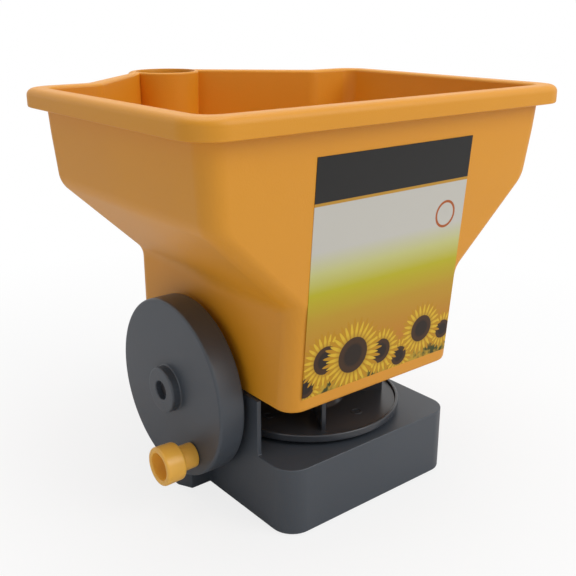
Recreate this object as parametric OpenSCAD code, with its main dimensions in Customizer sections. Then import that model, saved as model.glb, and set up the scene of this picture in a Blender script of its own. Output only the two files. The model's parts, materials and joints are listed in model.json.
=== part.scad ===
// Hand-held garden spreader: a hopper with a hollow handle on a gearbox base.
// A crank wheel with an inner ring gear turns a pinion shaft, a mitre gear pair
// and a spreading disc. A sliding shutter under the hopper floor doses the flow.
// +Y runs from the front to the handle, +X runs to the side away from the crank.

/* [Overall] */
// Length from the front of the rim to the back of the handle
overall_l = 232; // [222:1:280]
// Height of the rim's top above the ground
overall_h = 207; // [200:1:250]

/* [Hopper] */
// Width over the rim
hopper_w = 225; // [200:1:270]
// Length over the rim, without the neck and the handle
hopper_l = 163; // [150:1:172]
// Height of the rim's outer face
rim_h = 9; // [6:0.5:12]
// How far the rim stands out from the walls
rim_over = 8; // [6:0.5:10]
// Thickness of the moulded walls
wall = 2.4; // [1.8:0.1:3]
// Width of the lower box
lower_w = 112; // [104:1:120]
// Height at which the side walls break inwards
break_z = 160; // [145:1:172]
// Height at which the slope meets the lower box
crease_z = 117.5; // [105:0.5:130]
// Slope of the upper side walls, sideways per unit of height
side_draft = 0.1; // [0:0.01:0.15]
// How far the front wall runs back from the rim to the floor
front_rake = 10.8; // [6:0.1:14]
// Radius of the upright corners
corner_r = 10; // [6:0.5:13]
// Width of the neck where it leaves the rear wall
neck_w = 146; // [120:1:160]
// Height of the neck's underside
neck_z = 145; // [135:1:160]
// Depth of the hollow spine below the neck
spine_l = 8; // [5:0.5:10]
// Width of the hollow spine below the neck
spine_w = 34; // [20:1:36]

/* [Front film] */
// Width of the film
label_w = 98; // [60:1:102]
// Height of the film's lower edge
label_low = 72.5; // [70:0.5:90]
// Height of the film's upper edge
label_high = 186; // [150:1:192]
// Thickness of the film
label_t = 0.25; // [0.2:0.05:0.4]

/* [Handle] */
// Outer diameter of the handle at its top
handle_top_d = 40; // [34:1:44]
// Outer diameter of the handle at its foot
handle_foot_d = 33; // [28:1:36]
// How far the handle's rim stands out
handle_rim = 3; // [2:0.5:5]
// Width of the tongue that carries the handle
tongue_w = 37; // [34:1:46]
// Height of the tongue's top
tongue_z = 75; // [72:1:82]
// Depth of the tongue
tongue_h = 27; // [20:1:30]

/* [Base] */
// Width of the base
base_w = 114; // [108:1:124]
// Height of the deck under the disc
deck_z = 35.6; // [35:0.1:38]
// Height of the hopper's underside
seat_z = 65; // [64:0.5:70]
// Radius of the base's upright corners
base_r = 12; // [8:0.5:16]
// Distance from the base's front to the disc's axis
disc_back = 54; // [52:0.5:60]
// Distance from the base's front to the raised wall on the crank's side
left_wall_back = 24; // [16:1:40]
// Distance from the base's front to the raised wall on the other side
right_wall_back = 74; // [40:1:90]
// How far the low side foot stands out
foot_out = 15.4; // [10:0.1:16]
// Height of the low side foot
foot_h = 8; // [5:0.5:9]

/* [Spreading disc] */
// Radius of the disc
disc_r = 50; // [44:0.5:51]
// Number of vanes
vanes = 4; // [3:1:8]
// Height of the vanes above the disc
vane_h = 16.5; // [8:0.5:17]

/* [Crank] */
// Outer radius of the crank wheel
wheel_r = 47; // [46.5:0.5:50]
// Width of the wheel's edge
wheel_t = 14.2; // [12:0.1:18]
// Radius from the wheel's axis to the knob's axis
knob_at = 36; // [26:0.5:37]
// Length of the knob
knob_l = 20; // [16:0.5:40]
// Outer diameter of the knob's open end
knob_d = 20; // [16:0.5:24]

/* [Gears] */
// Tooth size of the ring gear and its pinion
ring_module = 1; // [0.9:0.05:1]
// Teeth of the ring gear
ring_teeth = 87; // [80:1:87]
// Teeth of the pinion
pinion_teeth = 12; // [11:1:14]
// Tooth size of the mitre pair
mitre_module = 1; // [0.8:0.05:1.05]
// Teeth of each mitre gear
mitre_teeth = 16; // [14:2:16]
// Height of the pinion shaft
shaft_z = 28; // [25:0.5:28]
// How far the crank's axis lies behind the disc's axis
crank_back = 21.9; // [18:0.1:26]
// Radius of the steel shafts
shaft_r = 3; // [2.5:0.1:3.2]

/* [Shutter] */
// Travel of the shutter, which is the outlet's length
shutter_travel = 20; // [12:1:20]
// Width of the outlet
outlet_w = 28; // [16:1:30]

/* [Clearances] */
// Radial clearance of a shaft in its bush
run_gap = 0.05; // [0.02:0.01:0.08]
// Clearance of sliding and loose pieces
slide_gap = 0.3; // [0.2:0.05:0.5]

/* [Hidden] */
$fn = 64;
eps = 0.01;
orange = [0.86, 0.56, 0.17];
grey = [0.24, 0.25, 0.28];
steel = [0.72, 0.73, 0.75];
nylon = [0.88, 0.87, 0.82];

// Places along Y
rim_front = -overall_l / 2;
rim_rear = rim_front + hopper_l;
wall_front = rim_front + rim_over;
wall_rear = rim_rear - rim_over;
foot_front = wall_front + front_rake;
base_front = foot_front - (base_w - lower_w) / 2;
base_rear = wall_rear + (base_w - lower_w) / 2;
handle_y = overall_l / 2 - handle_top_d / 2 - handle_rim;
disc_y = base_front + disc_back;
crank_y = disc_y + crank_back;

// Heights
lip_z = overall_h - rim_h;
floor_z = seat_z + wall;
left_wall_y = base_front + left_wall_back;
right_wall_y = base_front + right_wall_back;

// The ring gear's axis lies one centre distance from the pinion's
centre_distance = ring_module * (ring_teeth - pinion_teeth) / 2;
crank_z = shaft_z + sqrt(pow(centre_distance, 2) - pow(crank_back, 2));
mesh_angle = atan2(shaft_z - crank_z, disc_y - crank_y);
wheel_back = -base_w / 2 - 3.8;
wheel_face = wheel_back - wheel_t;
face_t = 2.6;
hub_r = 9;
hub_boss_r = 12;
hub_boss_h = 5;
axle_r = 4;
recess_r = 5;
washer_t = 1;
knob_y = crank_y + knob_at * cos(mesh_angle);
knob_z = crank_z + knob_at * sin(mesh_angle);
knob_bore_r = 3;

// Mitre gears, disc and bushes
mitre_r = mitre_module * mitre_teeth / 2;
mitre_face = 2.8;
turret_in = deck_z + 2;
turret_top = turret_in + 2;
turret_r = 15;
bush_r = 5;
bush_flange_r = 7;
shaft_bush_r = shaft_r + 1.4;
shaft_flange_r = deck_z - wall - shaft_z - slide_gap;
bush_flange_t = 1.2;
rib_x = -22;
disc_under = turret_top + bush_flange_t + slide_gap;
disc_floor = deck_z + 3;
disc_t = 1.6;
disc_rim_top = disc_floor + 3.1;
vane_angle = 61;
vane_end = disc_r - 7.5;
vane_top = disc_floor + disc_t + vane_h;

// Shutter
plate_t = 2.6;
plate_w = outlet_w + 6;
stem_w = 18;
plate_top = seat_z - slide_gap;
plate_under = plate_top - plate_t;
guide_floor_t = 2.4;
guide_top = plate_under - slide_gap;
outlet_y = disc_y + 8;
plate_front = outlet_y - 1.4;
lever_y = wall_rear + spine_l + 3;
lever_l = 5;
lever_w = 5.2;
lever_top = tongue_z + 11;
plate_rear = lever_y + lever_l + 3;
guide_front = plate_front - guide_floor_t - slide_gap;
guide_l = base_rear - wall - slide_gap - guide_front;

// Screws
screw_r = 1.75;
screw_head_r = 3.4;
screw_head_h = 2.2;
post_r = 4.6;
hopper_posts = [for (side = [-1, 1]) [side * (base_w / 2 - 11), base_rear - 10.5]];
cover_posts = [[-base_w / 2 + 9, base_front + 9], [base_w / 2 - 9, base_front + 9],
  [-base_w / 2 + 9, base_rear - 9], [base_w / 2 - 9, base_rear - 9]];
guide_ears = [for (side = [-1, 1], y = [outlet_y + 6, wall_rear - 14]) [side * (plate_w / 2 + 8.8), y]];
cover_t = 2.2;

// ---- Outlines ----

// Corner points of a rectangle with round corners
function rounded(x1, x2, y1, y2, r, n = 8) = [
  for (c = [[x2 - r, y2 - r, 0], [x1 + r, y2 - r, 90], [x1 + r, y1 + r, 180], [x2 - r, y1 + r, 270]],
       i = [0:n]) [c[0] + r * cos(c[2] + 90 * i / n), c[1] + r * sin(c[2] + 90 * i / n)]];

// Half width of the hopper's outer wall at a height
function half_w(z) =
  z >= break_z ? hopper_w / 2 - rim_over - side_draft * max(0, lip_z - z) :
  z >= crease_z ? lower_w / 2 + (half_w(break_z) - lower_w / 2) * (z - crease_z) / (break_z - crease_z) :
  lower_w / 2;

// Front of the hopper's outer wall at a height
function front_at(z) = foot_front - front_rake * (min(z, lip_z) - seat_z) / (lip_z - seat_z);

// Outline of the hopper at a height, moved inwards by a wall
function hopper_ring(z, inset) =
  [for (p = rounded(-half_w(z) + inset, half_w(z) - inset, front_at(z) + inset, wall_rear - inset,
                    corner_r - inset)) [p[0], p[1], z]];

// A closed solid through rings that have as many points each
module loft(rings) {
  n = len(rings[0]);
  top = len(rings) - 1;
  polyhedron(
    points = [for (ring = rings, p = ring) p],
    faces = concat(
      [[for (i = [0:n - 1]) i]],
      [for (k = [0:top - 1], i = [0:n - 1])
        [k * n + i, (k + 1) * n + i, (k + 1) * n + (i + 1) % n, k * n + (i + 1) % n]],
      [[for (i = [0:n - 1]) top * n + n - 1 - i]]),
    convexity = 6);
}

// Point on an involute of a base circle, where the radius is r
function involute_turn(base, r) = r <= base ? 0 : sqrt(pow(r / base, 2) - 1) * 180 / PI - acos(base / r);

// Half the angle of a tooth at radius r
function tooth_half(m, teeth, r, play) =
  let (pitch = m * teeth / 2, base = pitch * cos(20))
  90 / teeth - play * 90 / (PI * pitch) + involute_turn(base, pitch) - involute_turn(base, r);

// Outline of a gear from a root radius to a tip radius
function gear_points(m, teeth, root, tip, play, n = 3) = [
  for (t = [0:teeth - 1], side = [-1, 1], i = [0:n])
    let (k = side < 0 ? i : n - i, r = root + (tip - root) * k / n,
         a = 360 * t / teeth + side * tooth_half(m, teeth, r, play))
    [r * cos(a), r * sin(a)]];

// A rod along X
module x_rod(x1, x2, r, y, z) {
  translate([x1, y, z]) rotate([0, 90, 0]) cylinder(h = x2 - x1, r = r);
}

// A rod along Z
module z_rod(z1, z2, r, x = 0, y = 0) {
  translate([x, y, z1]) cylinder(h = z2 - z1, r = r);
}

// A tube along Z
module z_tube(z1, z2, r_out, r_in, x = 0, y = 0) {
  difference() {
    z_rod(z1, z2, r_out, x, y);
    z_rod(z1 - 1, z2 + 1, r_in, x, y);
  }
}

// A pan-head screw that points up, with its head's underside at z
module screw_up(x, y, z, length) {
  z_rod(z - screw_head_h, z, screw_head_r, x, y);
  z_rod(z - eps, z + length, screw_r, x, y);
}

// ---- Hopper ----

// Sides of the neck, from the rear wall to the handle
module neck_outline(inset) {
  root_half = neck_w / 2 - inset * 1.4;
  back_half = handle_top_d / 2 - inset;
  polygon([[-root_half, wall_rear - corner_r], [root_half, wall_rear - corner_r],
    [root_half, wall_rear - eps], [back_half, handle_y], [-back_half, handle_y],
    [-root_half, wall_rear - eps]]);
}

// Outline of the rim
module rim_outline(over) {
  polygon(rounded(-half_w(lip_z) - over, half_w(lip_z) + over, wall_front - over, wall_rear + over,
                  corner_r + over * 0.7));
  offset(delta = over) neck_outline(0);
}

module rim() {
  difference() {
    translate([0, 0, lip_z]) linear_extrude(rim_h) {
      rim_outline(rim_over);
      translate([0, handle_y]) circle(r = handle_top_d / 2 + handle_rim);
    }
    // The rim is folded over, so it is hollow underneath
    translate([0, 0, lip_z - 1]) linear_extrude(rim_h + 1 - wall) difference() {
      rim_outline(rim_over - wall);
      rim_outline(0);
      translate([0, handle_y]) circle(r = handle_top_d / 2 + handle_rim);
    }
  }
}

// Screw boss that stands on the hopper's floor, closed at its top
module floor_boss(x, y) {
  z_rod(floor_z - eps, floor_z + 8, post_r, x, y);
}

module hopper() {
  color(orange) difference() {
    union() {
      difference() {
        union() {
          loft([for (z = [seat_z, crease_z, break_z, lip_z + eps]) hopper_ring(z, 0)]);
          translate([0, 0, neck_z]) linear_extrude(lip_z + eps - neck_z) neck_outline(0);
          // Hollow spine below the neck
          translate([-spine_w / 2, wall_rear - wall, tongue_z])
            cube([spine_w, spine_l + wall, neck_z - tongue_z + eps]);
          rim();
        }
        loft([for (z = [floor_z, crease_z, break_z, overall_h + 1]) hopper_ring(z, wall)]);
        translate([0, 0, neck_z + wall]) linear_extrude(overall_h) neck_outline(wall);
        translate([-spine_w / 2 + wall, wall_rear - 2 * wall, tongue_z + wall])
          cube([spine_w - 2 * wall, spine_l + wall, neck_z - tongue_z]);
      }
      // Handle: a tapered tube that is open at its top
      translate([0, handle_y, tongue_z])
        cylinder(h = overall_h - tongue_z, r1 = handle_foot_d / 2, r2 = handle_top_d / 2);
      z_rod(tongue_z - 12, tongue_z + eps, 9, 0, handle_y);
      for (p = concat(hopper_posts, guide_ears)) floor_boss(p[0], p[1]);
    }
    translate([0, handle_y, tongue_z + wall])
      cylinder(h = overall_h - tongue_z, r1 = handle_foot_d / 2 - wall, r2 = handle_top_d / 2 - wall);
    z_rod(tongue_z - 20, tongue_z - 0.6, screw_r, 0, handle_y);
    // Shaft hole, outlet and pilot holes in the floor
    z_rod(seat_z - 1, floor_z + 1, bush_r, 0, disc_y);
    translate([-outlet_w / 2, outlet_y, seat_z - 1]) cube([outlet_w, shutter_travel, wall + 2]);
    for (p = concat(hopper_posts, guide_ears)) z_rod(seat_z - 1, floor_z + 6, screw_r, p[0], p[1]);
  }
}

module front_label() {
  rake = atan((front_at(label_low) - front_at(label_high)) / (label_high - label_low));
  color("ivory") translate([-label_w / 2, front_at(label_low), label_low]) rotate([rake, 0, 0])
    translate([0, -label_t, 0]) cube([label_w, label_t, (label_high - label_low) / cos(rake)]);
}

// ---- Base ----

module base_outline(inset) {
  polygon(rounded(-base_w / 2 + inset, base_w / 2 - inset, base_front + inset, base_rear - inset,
                  base_r - inset));
}

// Walls between the deck and the hopper: the left side, the rear and part of the right side
module cradle() {
  difference() {
    translate([0, 0, deck_z - eps]) linear_extrude(seat_z - deck_z + eps) difference() {
      base_outline(0);
      base_outline(wall);
    }
    translate([-base_w, base_front - 50, deck_z]) cube([2 * base_w, 50 + left_wall_y - base_front, 50]);
    translate([0, base_front - 1, deck_z]) cube([base_w, right_wall_y - base_front + 1, 50]);
  }
}

// Tongue behind the hopper, open underneath, with a sloping gusset
module tongue() {
  difference() {
    union() {
      translate([0, 0, tongue_z - tongue_h]) linear_extrude(tongue_h) tongue_outline(0);
      translate([-tongue_w / 2, base_rear - wall, 0]) rotate([90, 0, 90]) linear_extrude(tongue_w)
        polygon([[0, deck_z - 18], [1.5, deck_z - 18], [26, tongue_z - tongue_h + eps],
          [26, tongue_z - tongue_h + 3], [0, tongue_z - tongue_h + 3]]);
    }
    translate([0, 0, tongue_z - tongue_h - 1]) linear_extrude(tongue_h + 1 - wall) tongue_outline(wall);
    translate([-tongue_w / 2 + wall, base_rear - wall, 0]) rotate([90, 0, 90])
      linear_extrude(tongue_w - 2 * wall)
        polygon([[-1, deck_z - 14.5], [1, deck_z - 14.5], [23.5, tongue_z - tongue_h - 2],
          [23.5, tongue_z - tongue_h + 4], [-1, tongue_z - tongue_h + 4]]);
  }
}

module tongue_outline(inset) {
  translate([-tongue_w / 2 + inset, base_rear - wall])
    square([tongue_w - 2 * inset, handle_y - base_rear + wall]);
  translate([0, handle_y]) circle(r = tongue_w / 2 - inset);
}

// Low foot that stands out under the crank wheel, with bevelled corners
module side_foot() {
  x_in = -base_w / 2 + wall;
  x_out = -base_w / 2 - foot_out;
  y_front = crank_y - 8;
  y_rear = crank_y + 28;
  linear_extrude(foot_h) polygon([[x_in, y_front], [x_out + 4, y_front], [x_out, y_front + 8],
    [x_out, y_rear - 6], [x_out + 4, y_rear], [x_in, y_rear]]);
}

module base_housing() {
  color(grey) difference() {
    union() {
      difference() {
        linear_extrude(deck_z) base_outline(0);
        translate([0, 0, -1]) linear_extrude(deck_z + 1 - wall) base_outline(wall);
      }
      cradle();
      tongue();
      side_foot();
      z_rod(deck_z - wall, turret_top, turret_r, 0, disc_y);
      // Bosses for the crank's axle and the pinion shaft
      x_rod(-base_w / 2 - 3, -base_w / 2 + eps, hub_r, crank_y, crank_z);
      x_rod(-base_w / 2 + eps, -base_w / 2 + wall + 3, seat_z - crank_z, crank_y, crank_z);
      x_rod(-base_w / 2 - 1, -base_w / 2 + wall + 3, shaft_bush_r + 2, disc_y, shaft_z);
      // Rib that carries the pinion shaft's inner end
      translate([rib_x, disc_y - 9, shaft_z - 9]) cube([3, 18, deck_z - shaft_z + 8]);
      // Posts that the screws pass through or turn into
      for (p = hopper_posts) z_rod(deck_z - wall, seat_z, post_r, p[0], p[1]);
      for (p = cover_posts) z_rod(cover_t + slide_gap, deck_z - 1, post_r, p[0], p[1]);
      z_rod(tongue_z - 15, tongue_z, 12, 0, handle_y);
    }
    z_rod(deck_z - wall - 1, turret_in, turret_r - wall, 0, disc_y);
    z_rod(deck_z, turret_top + 1, bush_r, 0, disc_y);
    x_rod(-base_w, 0, axle_r, crank_y, crank_z);
    x_rod(-base_w, rib_x + 4, shaft_bush_r, disc_y, shaft_z);
    // The hopper's rear wall stands against the tongue
    translate([-base_w, wall_rear - 50, seat_z]) cube([2 * base_w, 50, 50]);
    for (p = hopper_posts) {
      z_rod(deck_z - wall - 1, seat_z - 8, screw_head_r + 0.3, p[0], p[1]);
      z_rod(seat_z - 9, seat_z + 1, screw_r, p[0], p[1]);
    }
    for (p = cover_posts) z_rod(-1, cover_t + 14, screw_r, p[0], p[1]);
    // Socket of the handle's spigot, and its screw hole
    z_rod(tongue_z - 12 - slide_gap, tongue_z + 1, 9 + slide_gap, 0, handle_y);
    z_rod(tongue_z - 20, tongue_z, screw_r, 0, handle_y);
    // Ways for the shutter's plate and lever
    translate([-stem_w / 2 - slide_gap, base_rear - wall - 5, guide_top])
      cube([stem_w + 2 * slide_gap, wall + 6, seat_z - guide_top + 1]);
    translate([-lever_w / 2 - slide_gap, lever_y - 1, tongue_z - wall - 1])
      cube([lever_w + 2 * slide_gap, lever_l + shutter_travel + 2, wall + 2]);
  }
}

module base_cover() {
  color(grey) difference() {
    union() {
      linear_extrude(cover_t) base_outline(wall + slide_gap);
      z_rod(0, 12, 6.5, 0, disc_y);
    }
    z_rod(4, 13, shaft_r + run_gap, 0, disc_y);
    for (p = cover_posts) {
      z_rod(-1, cover_t + 1, screw_r, p[0], p[1]);
      z_rod(-1, 1, screw_head_r + 0.3, p[0], p[1]);
    }
  }
}

module base_cover_screws() {
  color(steel) for (p = cover_posts) {
    z_rod(0.1, 1, screw_head_r, p[0], p[1]);
    z_rod(0.9, 14, screw_r, p[0], p[1]);
  }
}

module hopper_screws() {
  color(steel) for (p = hopper_posts) screw_up(p[0], p[1], seat_z - 8, 14);
}

module handle_screw() {
  color(steel) screw_up(0, handle_y, tongue_z - 15, 13.5);
}

// Marks for the shutter's settings, from closed to fully open, each longer than the last
module scale_marks() {
  color("white") for (i = [0:3])
    translate([lever_w / 2 + 2.2, lever_y + lever_l / 2 + i * shutter_travel / 3 - 0.4, tongue_z])
      cube([3 + 1.6 * i, 0.8, 0.4]);
}

// ---- Crank ----

axle_in = -base_w / 2 + wall + 3;
axle_out = wheel_face + face_t - hub_boss_h + 3;

module crank_axle() {
  color(steel) difference() {
    x_rod(axle_out, axle_in, axle_r, crank_y, crank_z);
    x_rod(axle_out - 1, axle_out + 14, screw_r, crank_y, crank_z);
  }
}

module crank_washer() {
  color(steel) difference() {
    x_rod(axle_out - washer_t, axle_out, recess_r - 0.2, crank_y, crank_z);
    x_rod(axle_out - 2, axle_out + 1, screw_r, crank_y, crank_z);
  }
}

module crank_axle_screw() {
  color(steel) {
    x_rod(axle_out - washer_t - screw_head_h, axle_out - washer_t, screw_head_r, crank_y, crank_z);
    x_rod(axle_out - washer_t - eps, axle_out + 12, screw_r, crank_y, crank_z);
  }
}

// Puts a shape drawn in Y and Z on the wheel's axis, from x1 to x2
module on_crank(x1, x2) {
  translate([x1, crank_y, crank_z]) rotate([90, 0, 90]) linear_extrude(x2 - x1) children();
}

ring_pitch = ring_module * ring_teeth / 2;
ring_root = ring_pitch + 1.1 * ring_module;
ring_tip = ring_pitch - 0.75 * ring_module;
pinion_pitch = ring_module * pinion_teeth / 2;
tooth_play = 0.18;

module crank_wheel() {
  color(grey) difference() {
    union() {
      x_rod(wheel_face, wheel_face + face_t, wheel_r, crank_y, crank_z);
      // Ring gear inside the edge
      difference() {
        x_rod(wheel_face + face_t - eps, wheel_back, wheel_r, crank_y, crank_z);
        on_crank(wheel_face + face_t - 1, wheel_back + 1) rotate(mesh_angle)
          polygon(gear_points(ring_module, ring_teeth, ring_tip, ring_root, -tooth_play));
      }
      x_rod(wheel_face + face_t - eps, wheel_back - 0.4, hub_r, crank_y, crank_z);
      x_rod(wheel_face - hub_boss_h, wheel_face + eps, hub_boss_r, crank_y, crank_z);
      // Ribs from the hub
      for (a = [0:60:300]) on_crank(wheel_face + face_t - eps, wheel_face + face_t + 6)
        rotate(a + mesh_angle + 30) translate([hub_r - 1, -0.8]) square([19, 1.6]);
      // Boss behind the knob's pin
      x_rod(wheel_face + face_t - eps, wheel_face + face_t + 0.6, 5, knob_y, knob_z);
    }
    x_rod(wheel_face - hub_boss_h - 1, wheel_back + 1, axle_r + run_gap, crank_y, crank_z);
    x_rod(wheel_face - hub_boss_h - 1, axle_out + slide_gap, recess_r, crank_y, crank_z);
    x_rod(wheel_face - 1, wheel_back, knob_bore_r - 0.8, knob_y, knob_z);
  }
}

knob_out = wheel_face - knob_l - slide_gap;
knob_seat = knob_out + 9;

module knob_pin() {
  color(steel) {
    x_rod(wheel_face - eps, wheel_face + face_t + 0.6, knob_bore_r - 0.8, knob_y, knob_z);
    x_rod(knob_seat - slide_gap, wheel_face, knob_bore_r, knob_y, knob_z);
    x_rod(knob_seat - slide_gap - 1.6, knob_seat - slide_gap + eps, knob_bore_r + 1.8, knob_y, knob_z);
  }
}

module crank_knob() {
  color(orange) translate([wheel_face - slide_gap, knob_y, knob_z]) rotate([0, -90, 0]) rotate_extrude()
    polygon([[knob_bore_r + run_gap, 0], [6.3, 0], [6.5, 0.8], [6.5, knob_l * 0.42],
      [knob_d / 2 - 0.6, knob_l * 0.45], [knob_d / 2, knob_l * 0.5], [knob_d / 2, knob_l - 1.2],
      [knob_d / 2 - 1.2, knob_l], [knob_d / 2 - 2.6, knob_l], [knob_d / 2 - 3.2, knob_l - 1],
      [knob_d / 2 - 3.4, knob_l - 9], [knob_bore_r + run_gap, knob_l - 9]]);
}

// ---- Gear train ----

shaft_end = -4.4;

module drive_shaft() {
  color(steel) x_rod(wheel_face + face_t + 1.2, shaft_end, shaft_r, disc_y, shaft_z);
}

module drive_pinion() {
  color(nylon) difference() {
    translate([wheel_back - 8.4, disc_y, shaft_z]) rotate([90, 0, 90]) linear_extrude(7) rotate(mesh_angle)
      polygon(gear_points(ring_module, pinion_teeth, pinion_pitch - 1.1 * ring_module,
                          pinion_pitch + 0.8 * ring_module, tooth_play));
    x_rod(wheel_back - 10, wheel_back, shaft_r, disc_y, shaft_z);
  }
}

// Flanged bush along Z, with its flange on top
module bush_up(z1, z2, body_r = bush_r, flange_r = bush_flange_r) {
  difference() {
    union() {
      z_rod(z1, z2 + bush_flange_t, body_r);
      z_rod(z2, z2 + bush_flange_t, flange_r);
    }
    z_rod(z1 - 1, z2 + 3, shaft_r + run_gap);
  }
}

module shaft_bushes() {
  color(nylon) {
    translate([-base_w / 2 - 1, disc_y, shaft_z]) rotate([0, -90, 0])
      bush_up(-wall - 4, 0, shaft_bush_r, shaft_flange_r);
    translate([rib_x, disc_y, shaft_z]) rotate([0, -90, 0]) bush_up(-3, 0, shaft_bush_r, shaft_flange_r);
  }
}

module disc_bush() {
  color(nylon) translate([0, disc_y, 0]) bush_up(turret_in, turret_top);
}

module floor_bush() {
  color(nylon) translate([0, disc_y, 0]) bush_up(seat_z, floor_z);
}

// A mitre gear with its big end at z = mitre_r, its apex at the origin, around a bore
module mitre_gear(bore, hub_h) {
  shrink = (mitre_r - mitre_face) / mitre_r;
  difference() {
    union() {
      translate([0, 0, mitre_r]) mirror([0, 0, 1]) linear_extrude(mitre_face, scale = shrink)
        polygon(gear_points(mitre_module, mitre_teeth, mitre_r - 0.85 * mitre_module,
                            mitre_r + 0.6 * mitre_module, 0.3));
      translate([0, 0, mitre_r - eps]) cylinder(h = hub_h, r = 5.2);
    }
    translate([0, 0, -1]) cylinder(h = mitre_r + hub_h + 2, r = bore);
  }
}

module shaft_mitre_gear() {
  color(nylon) translate([0, disc_y, shaft_z]) rotate([0, -90, 0]) mitre_gear(shaft_r, 6);
}

module disc_mitre_gear() {
  color(nylon) translate([0, disc_y, shaft_z]) rotate(180 / mitre_teeth) mitre_gear(shaft_r, 1.2);
}

agitator_z = floor_z + bush_flange_t + 1;
arm_l = 22;

module disc_shaft() {
  color(steel) difference() {
    z_rod(4.3, agitator_z + 12, shaft_r, 0, disc_y);
    translate([-10, disc_y, agitator_z + 4]) rotate([0, 90, 0]) cylinder(h = 20, r = 1);
  }
}

module spreading_disc() {
  color(grey) translate([0, disc_y, 0]) difference() {
    union() {
      // Dished plate with a raised middle and a thin upstanding rim
      rotate_extrude($fn = 128) polygon([[0, disc_under], [turret_r + 2, disc_under],
        [turret_r + 4, disc_floor], [disc_r - 1.8, disc_floor], [disc_r - 1.8, disc_floor - 0.8],
        [disc_r, disc_floor - 0.8], [disc_r, disc_rim_top], [disc_r - 1.8, disc_rim_top],
        [disc_r - 1.8, disc_floor + disc_t], [turret_r + 5, disc_floor + disc_t],
        [turret_r + 3, disc_under + disc_t], [7, disc_under + disc_t], [7, disc_under + 10],
        [0, disc_under + 10]]);
      for (i = [0:vanes - 1]) rotate(vane_angle + i * 360 / vanes) difference() {
        translate([6, -1.2, disc_under]) cube([vane_end - 6, 2.4, vane_top - disc_under]);
        translate([6, -2, disc_under + 10 + disc_t]) cube([6, 4, vane_h]);
      }
    }
    z_rod(0, 100, shaft_r);
    rotate_extrude($fn = 128) polygon([[turret_r + 2, disc_under - 9], [turret_r + 2, disc_under],
      [turret_r + 4, disc_floor], [disc_r - 2, disc_floor], [disc_r - 2, disc_under - 9]]);
  }
}

collar_h = 4;
module disc_collar() {
  color(steel) translate([0, disc_y, 0]) z_tube(disc_under + 10, disc_under + 10 + collar_h, 5.6, shaft_r);
}

module agitator() {
  color(nylon) translate([0, disc_y, 0]) difference() {
    union() {
      z_rod(agitator_z, agitator_z + 9, 6.5);
      for (side = [0, 180]) rotate(side + vane_angle) {
        translate([0, 0, agitator_z + 2.6 + side / 60]) rotate([0, 90, 0]) cylinder(h = arm_l, r = 2);
        translate([arm_l - 2, 0, agitator_z + 2.6 + side / 60]) cylinder(h = 12, r = 2);
      }
    }
    z_rod(agitator_z - 1, agitator_z + 10, shaft_r);
    translate([-10, 0, agitator_z + 4]) rotate([0, 90, 0]) cylinder(h = 20, r = 1);
  }
}

module agitator_pin() {
  color(steel) x_rod(-7.5, 7.5, 1, disc_y, agitator_z + 4);
}

// ---- Shutter ----

module shutter_guide() {
  inner = plate_w / 2 + slide_gap;
  color(grey) difference() {
    union() {
      translate([-inner - 3, guide_front, guide_top - guide_floor_t])
        cube([2 * inner + 6, guide_l, seat_z - guide_top + guide_floor_t]);
      for (p = guide_ears) z_rod(seat_z - 3, seat_z, post_r, p[0], p[1]);
      for (p = guide_ears) translate([min(p[0], 0) + (p[0] > 0 ? inner : 0), p[1] - post_r, seat_z - 3])
        cube([abs(p[0]) - (p[0] > 0 ? inner : 0), 2 * post_r, 3]);
    }
    translate([-inner, plate_front - slide_gap, guide_top]) cube([2 * inner, guide_l + 10, seat_z]);
    translate([-outlet_w / 2, outlet_y, 0]) cube([outlet_w, shutter_travel, seat_z]);
    for (p = guide_ears) z_rod(seat_z - 10, seat_z + 1, screw_r, p[0], p[1]);
  }
}

module guide_screws() {
  color(steel) for (p = guide_ears) screw_up(p[0], p[1], seat_z - 3, 9);
}

module shutter_plate() {
  blade_rear = wall_rear - shutter_travel - 4;
  color(grey) difference() {
    union() {
      translate([-plate_w / 2, plate_front, plate_under]) cube([plate_w, blade_rear - plate_front, plate_t]);
      translate([-stem_w / 2, plate_front, plate_under]) cube([stem_w, plate_rear - plate_front, plate_t]);
    }
    z_rod(plate_under - 1, seat_z, screw_r, 0, lever_y + lever_l / 2);
  }
}

module shutter_lever() {
  color("orange") difference() {
    union() {
      translate([-7, lever_y - 2, plate_top]) cube([14, lever_l + 4, 2.6]);
      translate([-lever_w / 2, lever_y, plate_top]) cube([lever_w, lever_l, lever_top - plate_top]);
      translate([-8, lever_y, tongue_z + 1.2]) cube([16, lever_l, 3]);
    }
    z_rod(plate_top - 1, plate_top + 7, screw_r, 0, lever_y + lever_l / 2);
  }
}

module lever_screw() {
  color(steel) screw_up(0, lever_y + lever_l / 2, plate_under, 8);
}

hopper();
front_label();
base_housing();
base_cover();
base_cover_screws();
hopper_screws();
handle_screw();
crank_axle();
crank_axle_screw();
crank_washer();
shaft_bushes();
disc_bush();
floor_bush();
shutter_guide();
guide_screws();
scale_marks();
crank_wheel();
knob_pin();
crank_knob();
drive_shaft();
drive_pinion();
shaft_mitre_gear();
disc_mitre_gear();
disc_shaft();
spreading_disc();
disc_collar();
agitator();
agitator_pin();
shutter_plate();
shutter_lever();
lever_screw();
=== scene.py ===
import bmesh
import bpy
import json
from math import atan2, cos, pi, radians, sin, tan
from mathutils import Matrix, Vector

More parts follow.
